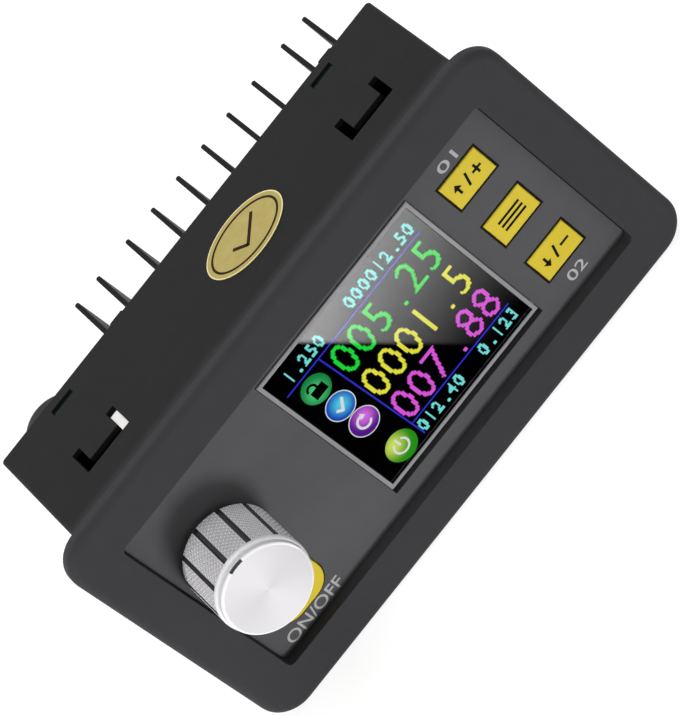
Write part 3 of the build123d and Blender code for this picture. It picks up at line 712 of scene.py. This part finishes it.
def finishOf(radius, centre):
    k = knobSet
    onTop = abs(math.degrees(math.atan2(centre.x, centre.z))) < k["markHalf"]
    if onTop and radius > k["faceR"] and centre.y < -k["ringEnd"] - k["nearer"]:
        return knobMark
    inBore = radius < k["boreR"] and centre.y > -k["front"] + k["near"]
    if inBore or centre.y > k["rearFrom"]:
        return knobStep
    if centre.y < -k["front"] + k["nearer"]:
        return knobFace
    if centre.y < -k["ringEnd"] + k["nearer"]:
        return knobRing
    if centre.y < -k["stepEnd"]:
        return knobStep
    if centre.y < -k["gripEnd"]:
        return knobShoulder
    return knobGroove if radius < k["gripR"] - k["grooveDepth"] * k["grooveShare"] else knobGrip


def knobFinishes():
    # in the order of the names above: bright polished edges, duller turned walls, dark cut floors,
    # and last a darker colour for the knurl's valleys, which is painted shade
    return [
        turnedFace(),
        turnedMetal("polishedRim", "#f0eff1", "#f8f7f9", 0.35, 0.3, 0.002, metallic=0.4),
        turnedMetal("turnedStep", "#d2d1d4", "#dedde0", 0.5, metallic=0.1),
        turnedMetal("polishedShoulder", "#e8e7ea", "#f3f2f5", 0.35, 0.2, 0.003, metallic=0.3),
        turnedMetal("knurledAluminium", "#e8e6e9", "#f8f6f9", 0.5, metallic=0.08),
        turnedMetal("grooveFloor", "#4a4a4c", "#5c5c5e", 0.6),
        turnedMetal("markFloor", "#3c3c3e", "#4a4a4c", 0.6),
        # painted shade: darker colour for the knurl's valleys
        turnedMetal("knurlValleyPaintedShade", "#a09ea1", "#b0aeb1", 0.6, metallic=0.08),
    ]


def makeKnob():
    k = knobSet
    steps = k["grooves"] * k["perSector"]
    turn = math.radians(k["turn"])
    step = math.tau / steps
    bm = lathe(knobRows(), steps)
    cutKnob(bm, turn, step)
    bmesh.ops.recalc_face_normals(bm, faces=bm.faces)
    for face in bm.faces:
        centre = face.calc_center_median()
        face.material_index = finishOf(math.hypot(centre.x, centre.z), centre)
        # every other grip face, by column and row, takes the darker valley colour: painted shade
        column = math.floor((math.atan2(centre.x, centre.z) - turn) / step)
        row = math.floor((centre.y + k["gripEnd"]) / k["rowMm"])
        if face.material_index == knobGrip and (column + row) % 2:
            face.material_index = knobShadedValley
    centre = middle("knob_shell")
    bmesh.ops.translate(bm, vec=(centre.x, 0, centre.z), verts=bm.verts)
    knob = finishPiece("knurled_knob", bm, "knob", knobFinishes(), smooth=k["smooth"],
                       replaced=("knob_shell",))
    for face in knob.data.polygons:
        if face.material_index in (knobGrip, knobShadedValley):
            face.use_smooth = False


def turnedFace():
    # Sand-blasted face: bright satin. Its faint light and dark sectors are a painted reflection,
    # the sheen that turned metal shows in light.
    material, tree, surface = newMaterial("blastedFacePaintedSheen", {"Metallic": 0.45, "Roughness": 0.5})
    centre = middle("knob_shell")
    place = axes(tree, objectPoint(tree, move=-at(centre.x, 0, centre.z)))
    # four lighter and darker sectors round the face: painted reflection
    angle = calc(tree, "ARCTAN2", place["X"], place["Z"])
    paintedSheen = calc(tree, "COSINE", calc(tree, "MULTIPLY", angle, 2.0))
    share = ranged(tree, paintedSheen, {"From Min": -1.0, "From Max": 1.0})
    colour = blended(tree, share, rgb("#dad8db"), rgb("#e6e4e7"))
    tree.links.new(colour, surface.inputs["Base Color"])
    grainBump(tree, surface, 0.12, 0.004)
    return material


# display: a glass plate over lit figures on the black cell. Places are those seen on the window
# from the photograph's view. Behind a millimetre of glass a print seems to rise by bend, and
# behind one of air by airBend, so it is set that much lower.

displaySet = {
    "glassT": 0.6, "glassEdge": 0.015, "printGap": 0.03, "bend": 0.46, "airBend": 0.815,
    "bigX": -0.75, "bigPitch": 3.1, "bigW": 2.5, "bigH": 4.68, "bigBold": -0.004, "bigDot": 0.26,
    "rows": {"green_digits": ("005.25", 4.0, "#22ee44"),
             "yellow_digits": ("0001.5", -1.9, "#fbf84a"),
             "magenta_digits": ("007.88", -7.55, "#f060f0")},
    "smallPitch": 1.37, "smallW": 1.08, "smallH": 1.98, "smallBold": 0.02, "smallDot": 0.22,
    "smallRows": [("1.250", -5.8, 10.1), ("000012.50", 5.5, 10.1),
                  ("012.40", -0.7, -10.45), ("0.123", 10.9, -10.45)],
    "cyan": "#7ff3ef", "blue": "#3434d8", "lineW": 0.22,
    "lines": [(-7.3, 9.45, 17.8, 9.4), (-1.45, 9.45, -0.85, -10.5), (-0.8, -8.0, 17.6, -8.05)],
    "cellPitch": 0.2, "cellGap": 0.08, "cellLevel": 1.12, "gapLevel": 0.75,
}


def litMaterial(name, colour, glint=None):
    # Lit LCD dots: a glowing colour crossed by the dim lines between the cells. A glint is a place,
    # a reach and a second colour that the first turns to there.
    d = displaySet
    material, tree, surface = newMaterial(name, {
        "Base Color": grey(0), "Specular IOR Level": 0.0, "Emission Color": rgb(colour),
        "Roughness": 0.8})
    if glint:
        spot, reach, second = glint
        place = addNode(tree, "ShaderNodeTexCoord")
        away = addNode(tree, "ShaderNodeVectorMath", {"operation": "DISTANCE"},
                       {0: place.outputs["Object"], 1: at(*spot)})
        share = ranged(tree, away.outputs["Value"], {"From Max": reach * mm},
                       {"interpolation_type": "SMOOTHSTEP"})
        tree.links.new(blended(tree, share, rgb(second), rgb(colour)),
                       surface.inputs["Emission Color"])
    # The brick pattern lies in x and y, so the screen's x and z are turned into them.
    point = objectPoint(tree, turn=(math.radians(-90), 0, 0))
    cells = addNode(tree, "ShaderNodeTexBrick", {"offset": 0.0}, {
        "Vector": point, "Scale": 1 / (d["cellPitch"] * mm), "Mortar Size": d["cellGap"],
        "Brick Width": 1.0, "Row Height": 1.0})
    level = ranged(tree, cells.outputs["Fac"], {"To Min": d["cellLevel"], "To Max": d["gapLevel"]})
    tree.links.new(level, surface.inputs["Emission Strength"])
    return material


def unlitCell():
    # Unlit display cell: matt and nearly black, with a faint blue cast.
    material, tree, surface = newMaterial("unlitCell", {
        "Specular IOR Level": 0.0, "Roughness": 0.9})
    tinted(tree, surface, "#030308", "#06060c", 4.0)
    return material


def clearGlass():
    # Display glass: clear and polished, so that it only shows what it mirrors.
    material, tree, surface = newMaterial("clearCoverGlass", {
        "Transmission Weight": 1.0, "IOR": 1.5})
    speckledRoughness(tree, surface, 5.0, 0.0, 0.012)
    return material


def edgeMask():
    # Black paint on the glass's cut edge: matt, so that no stray light comes through it.
    return mouldedPlastic("blackEdgePaint", "#050506", "#0a0a0b", 0.8, 0.1, 0.003, specular=0.05)


def makeDisplay():
    d = displaySet
    low, high = box("display_glass")
    rear = low.y + d["glassT"]
    bm = roundedBlock(low, Vector((high.x, rear, high.z)), d["glassEdge"], 1)
    for face in bm.faces:  # the two flat sides are clear, the cut edges painted
        face.material_index = 0 if abs(face.normal.y) > 0.9 else 1
    finishPiece("cover_glass", bm, "module", [clearGlass(), edgeMask()],
                replaced=("display_glass",))
    dress(unlitCell(), "lcd_cell")
    depth = box("lcd_cell")[0].y - d["printGap"]
    drop = d["bend"] * d["glassT"] + d["airBend"] * (depth - rear)
    onCell = Matrix.Translation((0, depth, -drop)) @ toFront
    for name, (text, base, colour) in d["rows"].items():
        bm = bmesh.new()
        addDigits(bm, text, d["bigX"], base, d["bigW"], d["bigH"], d["bigPitch"], d["bigBold"],
                  d["bigDot"])
        finishPrint(name, bm, litMaterial("lit_" + name, colour), onCell)
    bm = bmesh.new()
    for text, x, y in d["smallRows"]:
        addDigits(bm, text, x, y, d["smallW"], d["smallH"], d["smallPitch"], d["smallBold"],
                  d["smallDot"])
    finishPrint("cyan_digits", bm, litMaterial("litCyan", d["cyan"]), onCell)
    bm = bmesh.new()
    for line in d["lines"]:
        addBar(bm, *line, d["lineW"])
    finishPrint("blue_lines", bm, litMaterial("litBlue", d["blue"]), onCell)
    makeIcons(onCell)
    print("stage: display is lit")


# Each part of an icon gives its kind, its layer and its numbers, measured from the icon's centre.
iconSet = {
    "lock": {
        "x": -4.47, "y": 6.85, "r": 2.1, "material": "litGreenSign", "colour": "#1a9048",
        "glint": (-0.2, -0.3, 2.3, "#5ce890"),
        "parts": [("shape", 2, (-0.95, -1.25), (1.15, -1.25), (1.15, 0.15), (-0.95, 0.15)),
                  ("arc", 2, -0.35, 0.45, 0.45, 0.78, 0, 180),
                  ("bar", 2, 0.27, 0.5, 0.27, 0.1, 0.33)],
    },
    "tick": {
        "x": -4.33, "y": 2.35, "r": 2.1, "material": "litBlueSign", "colour": "#1238c8",
        "glint": (0.2, 0.1, 2.3, "#5ce4ff"),
        "parts": [("arc", 2, 0, 0, 1.97, 2.1, 0, 360),
                  ("bar", 2, -0.85, -0.05, -0.15, -0.75, 0.42),
                  ("bar", 3, -0.3, -0.82, 0.9, 0.8, 0.42)],
    },
    "turn": {
        "x": -4.12, "y": -1.95, "r": 2.15, "material": "litPurpleSign", "colour": "#5a1c94",
        "glint": (0.5, 0.5, 2.3, "#f078ff"),
        "parts": [("arc", 2, 0, 0, 2.02, 2.15, 0, 360),
                  ("arc", 2, 0, 0, 0.75, 1.1, 60, 270),
                  ("shape", 3, (-0.15, 0.45), (0.75, 0.55), (0.35, 1.35))],
    },
    "power": {
        "x": -3.78, "y": -8.85, "r": 2.25, "material": "litGreenButton", "colour": "#2ca01c",
        "glint": (-0.6, 1.0, 2.7, "#e4f86c"),
        "parts": [("arc", 2, 0, 0, 0.9, 1.2, 125, 290),
                  ("bar", 2, 0, 0.15, 0, 1.4, 0.3)],
    },
}
iconLayer = 0.006  # each layer of an icon lies this far in front of the one below


def addSign(bm, icon):
    x, y = icon["x"], icon["y"]
    for kind, layer, *numbers in icon["parts"]:
        lift = layer * iconLayer
        if kind == "shape":
            addShape(bm, [(x + dx, y + dy) for dx, dy in numbers], lift)
        elif kind == "arc":
            dx, dy, *ring = numbers
            addArc(bm, x + dx, y + dy, *ring, lift)
        else:
            x0, y0, x1, y1, width = numbers
            addBar(bm, x + x0, y + y0, x + x1, y + y1, width, lift)


def makeIcons(onCell):
    for name, icon in iconSet.items():
        bm = bmesh.new()
        addDisc(bm, icon["x"], icon["y"], icon["r"], lift=iconLayer)
        dx, dy, reach, second = icon["glint"]
        spot = onCell @ Vector((icon["x"] + dx, icon["y"] + dy, iconLayer))
        lit = litMaterial(icon["material"], icon["colour"], (spot, reach, second))
        finishPrint(name + "_sign", bm, lit, onCell)
    dark = bmesh.new()
    addSign(dark, iconSet["lock"])
    finishPrint("dark_symbols", dark, unlitCell(), onCell)
    pale = bmesh.new()
    for name in ("tick", "turn", "power"):
        addSign(pale, iconSet[name])
    finishPrint("pale_symbols", pale, litMaterial("litWhite", "#f2f6f6"), onCell)


# prints on the panel and the keys, and the painted shadow in the gaps round the keys

# outline is the width of the painted gap shadow round the keys
printSet = {
    "lift": 0.012, "bold": 0.008, "outline": 0.2, "gap": 0.12, "flange": 0.7,
    "words": [("01", 24.45, 11.8, 27.5, 13.3), ("02", 24.45, -14.05, 27.45, -12.45),
              ("ON/OFF", -31.0, -15.3, -21.1, -13.5)],
}


def makePrints():
    p = printSet
    panel = box("front_panel")[0].y - p["lift"]
    bm = bmesh.new()
    for text, *place in p["words"]:
        addLetters(bm, text, *place, p["bold"])
    finishPrint("panel_print", bm, paleInk, onFront(panel))
    # painted shadow: a black line where the gap round each of the three keys lies in shade
    bm = bmesh.new()
    for key in ("up", "set", "down"):
        low, high = box("key_" + key)
        addGapShadow(bm, low, high, p["outline"])
    finishPrint("key_gap_shadows", bm, blackInkAndGapShadow, onFront(panel))
    for key in ("up", "set", "down"):
        centre = middle("key_" + key)
        bm = bmesh.new()
        addLegend(bm, key, centre.x, centre.z)
        front = onFront(box("key_" + key)[0].y - p["lift"])
        finishPrint("legend_" + key, bm, blackInkAndGapShadow, front, "key_" + key)
    print("stage: prints are on")


def addGapShadow(bm, low, high, width):
    # painted shadow of the gap round a key's hole, drawn as a black line; the key's own box is that
    # of its hidden flange
    gap = printSet["gap"] - printSet["flange"]
    x0, z0, x1, z1 = low.x - gap, low.z - gap, high.x + gap, high.z + gap
    half = width / 2
    for side in (z0 - half, z1 + half):
        addBar(bm, x0 - width, side, x1 + width, side, width)
    for side in (x0 - half, x1 + half):
        addBar(bm, side, z0, side, z1, width)


# strokes from the key's middle; the lower key's arrow is the upper key's, upside down
legendSet = {
    "stroke": 0.36,
    "lines": ((-1.9, -0.75, 1.9, -0.75), (-1.9, 0, 1.9, 0), (-1.9, 0.75, 1.9, 0.75)),
    "stem": (-1.7, -0.75, -1.7, 0.2), "arrow": ((-2.35, 0.1), (-1.05, 0.1), (-1.7, 0.95)),
    "slash": (-0.35, -0.95, 0.25, 0.95), "minus": (0.85, 0, 2.35, 0),
    "plus": (1.6, -0.75, 1.6, 0.75),
}


def addLegend(bm, key, x, z):
    def addStroke(x0, z0, x1, z1):
        addBar(bm, x + x0, z + z0, x + x1, z + z1, legendSet["stroke"])

    if key == "set":
        for line in legendSet["lines"]:
            addStroke(*line)
        return
    side = 1 if key == "up" else -1
    x0, z0, x1, z1 = legendSet["stem"]
    addStroke(x0, z0 * side, x1, z1 * side)
    addShape(bm, [(x + dx, z + dz * side) for dx, dz in legendSet["arrow"]])
    addStroke(*legendSet["slash"])
    addStroke(*legendSet["minus"])
    if key == "up":
        addStroke(*legendSet["plus"])


# sticker: gold paper with a brown ring and a tick

stickerSet = {
    "ringInset": 0.72, "ringW": 0.33, "edgeW": 0.16, "lift": 0.012, "sides": 96,
    "tickW": 0.5, "tick": ((-2.3, -0.1, -0.6, -1.75), (-0.75, -1.9, 2.6, 1.9)),
}


def goldPaper():
    # Gold-coloured paper label: satin with a fine fibre and a faint cloudiness.
    material, tree, surface = newMaterial("goldLabelPaper", {
        "Metallic": 0.25, "Specular IOR Level": 0.4})
    tinted(tree, surface, "#a0904c", "#b6a662", 1.4)
    speckledRoughness(tree, surface, 0.3, 0.38, 0.5)
    grainBump(tree, surface, 0.15, 0.006)
    return material


def makeSticker():
    s = stickerSet
    dress(goldPaper(), "sticker")
    low, high = box("sticker")
    centre = middle("sticker")
    halfX, halfY = (high.x - low.x) / 2, (high.y - low.y) / 2
    top = Matrix.Translation((centre.x, centre.y, high.z + s["lift"]))
    # Brown label ink: dark and matt.
    brown = mouldedPlastic("brownLabelInk", "#1e0f05", "#2c190b", 0.5, 0.1, 0.003, specular=0.1)
    bm = bmesh.new()
    addOval(bm, halfX - s["ringInset"], halfY - s["ringInset"], s["ringW"])
    for stroke in s["tick"]:
        addBar(bm, *stroke, s["tickW"])
    finishPrint("label_ring", bm, brown, top)
    # Cut edge of the label: a thin pale line all round, partly the label's own pale edge and partly
    # a painted highlight on its rim.
    pale = mouldedPlastic("paleLabelEdgeAndHighlight", "#e2d8a0", "#ece3b0", 0.45, 0.1, 0.003, specular=0.3)
    bm = bmesh.new()
    addOval(bm, halfX, halfY, s["edgeW"])
    finishPrint("label_edge_and_highlight", bm, pale, top)
    print("stage: sticker is on")


def addOval(bm, halfX, halfY, width):
    # an even ring round an oval: two outlines with the same corners, joined
    before = len(bm.edges)
    for a, b in ((halfX, halfY), (halfX - width, halfY - width)):
        bmesh.ops.create_circle(bm, cap_ends=False, segments=stickerSet["sides"], radius=1,
                                matrix=Matrix.Diagonal((a, b, 1, 1)))
    bmesh.ops.bridge_loops(bm, edges=list(bm.edges)[before:])


ribSet = {"left": -22.35, "right": -21.15, "front": 9.68, "rear": 13.35, "top": 19.2,
          "edge": 0.08, "rounds": 2, "smooth": 40}


def makeRib():
    # white latch rib on the side socket; it reaches up into the left tongue's slot
    r = ribSet
    foot = box("side_socket")[1].z
    low = Vector((r["left"], r["front"], foot))
    high = Vector((r["right"], r["rear"], r["top"]))
    bm = roundedBlock(low, high, r["edge"], r["rounds"])
    finishPiece("socket_rib", bm, "module", [whiteNylon], smooth=r["smooth"])


# cans: a shrunk sleeve with a pale stripe, rolled over the rim of a scored aluminium top

canSet = {
    "segments": 96, "corner": 0.3, "edge": 0.55, "edgeSteps": 4, "smooth": 30,
    "lip": 0.9, "lipSlope": 0.08, "lipNear": 0.02, "sunk": 0.18,
    "grooveAt": 1.6, "groove": 0.28, "stripe": 26, "stripeGap": 0.3,
    "score": 0.16, "scoreReach": 0.72, "scoreLift": 0.01, "scoreTurns": (0, 60, 120),
    "scoreRise": 0.00002,
}


def makeCan(name, node):
    c = canSet
    low, high = box(node)
    centre = middle(node)
    radius = (high.x - low.x) / 2
    inner = radius - c["lip"]
    groove = low.y + c["grooveAt"]
    sunk = high.y - c["sunk"]
    rows = [(0, low.y), (radius - c["corner"], low.y), (radius, low.y + c["corner"]),
            (radius, groove - c["groove"]), (radius - c["groove"], groove),
            (radius, groove + c["groove"])]
    rows += [(radius - c["edge"] * (1 - cosine), high.y - c["edge"] * (1 - sine))
             for sine, cosine in quarter(c["edgeSteps"])]
    rows += [(inner, high.y), (inner - c["lipSlope"], sunk), (0, sunk)]
    bm = lathe(rows, c["segments"])
    bmesh.ops.recalc_face_normals(bm, faces=bm.faces)
    for face in bm.faces:
        spot = face.calc_center_median()
        fromBelow = abs(math.degrees(math.atan2(spot.x, -spot.z)))
        if math.hypot(spot.x, spot.z) < inner - c["lipNear"]:
            face.material_index = 1
        elif fromBelow < c["stripe"] and spot.y > groove + c["stripeGap"]:
            face.material_index = 2
    bmesh.ops.translate(bm, vec=(centre.x, 0, centre.z), verts=bm.verts)
    finishPiece(name, bm, "module", [canSleeve, canTop, canStripe], smooth=c["smooth"],
                replaced=(node,))
    bm = bmesh.new()
    reach = Vector((inner * c["scoreReach"], 0, 0))
    for turn in c["scoreTurns"]:
        run = Matrix.Rotation(math.radians(turn), 3, "Z") @ reach
        addBar(bm, centre.x - run.x, centre.z - run.y, centre.x + run.x, centre.z + run.y,
               c["score"], turn * c["scoreRise"])
    upright = Matrix.Rotation(math.radians(-90), 4, "X") @ Matrix.Diagonal((1, -1, 1, 1))
    onRear = Matrix.Translation((0, sunk + c["scoreLift"], 0)) @ upright
    finishPrint(name + "_score", bm, canScore, onRear)


# Sleeve and its stripe: glossy black with a pale grey band.
canSleeve = sleeveFilm("shrunkSleeveFilm", "#0c0c0e", "#151518")
canStripe = sleeveFilm("sleevePaleStripe", "#9a9da0", "#a8abae")
# Drawn can top and its scored cross: light bare metal with darker lines.
canTop = turnedMetal("drawnAluminium", "#c8c9ca", "#dadbdc", 0.35, metallic=1.0)
canScore = turnedMetal("scoredLine", "#5c5d5e", "#6c6d6e", 0.5, metallic=1.0)


def main():
    scene.view_settings.view_transform = "Standard"
    makeCamera()
    makeWorld()
    makeLights()
    makeFloor()
    makeGlare()
    print("stage: camera, lights and floor are in place")
    dressFrame()
    print("stage: frame dressed")
    makeKnob()
    print("stage: knob turned")
    makeDisplay()
    makePrints()
    makeSticker()
    makeRib()
    makeCan("input_can", "capacitor_input")
    makeCan("output_can", "capacitor_output")
    print("stage: cans sleeved")


main()
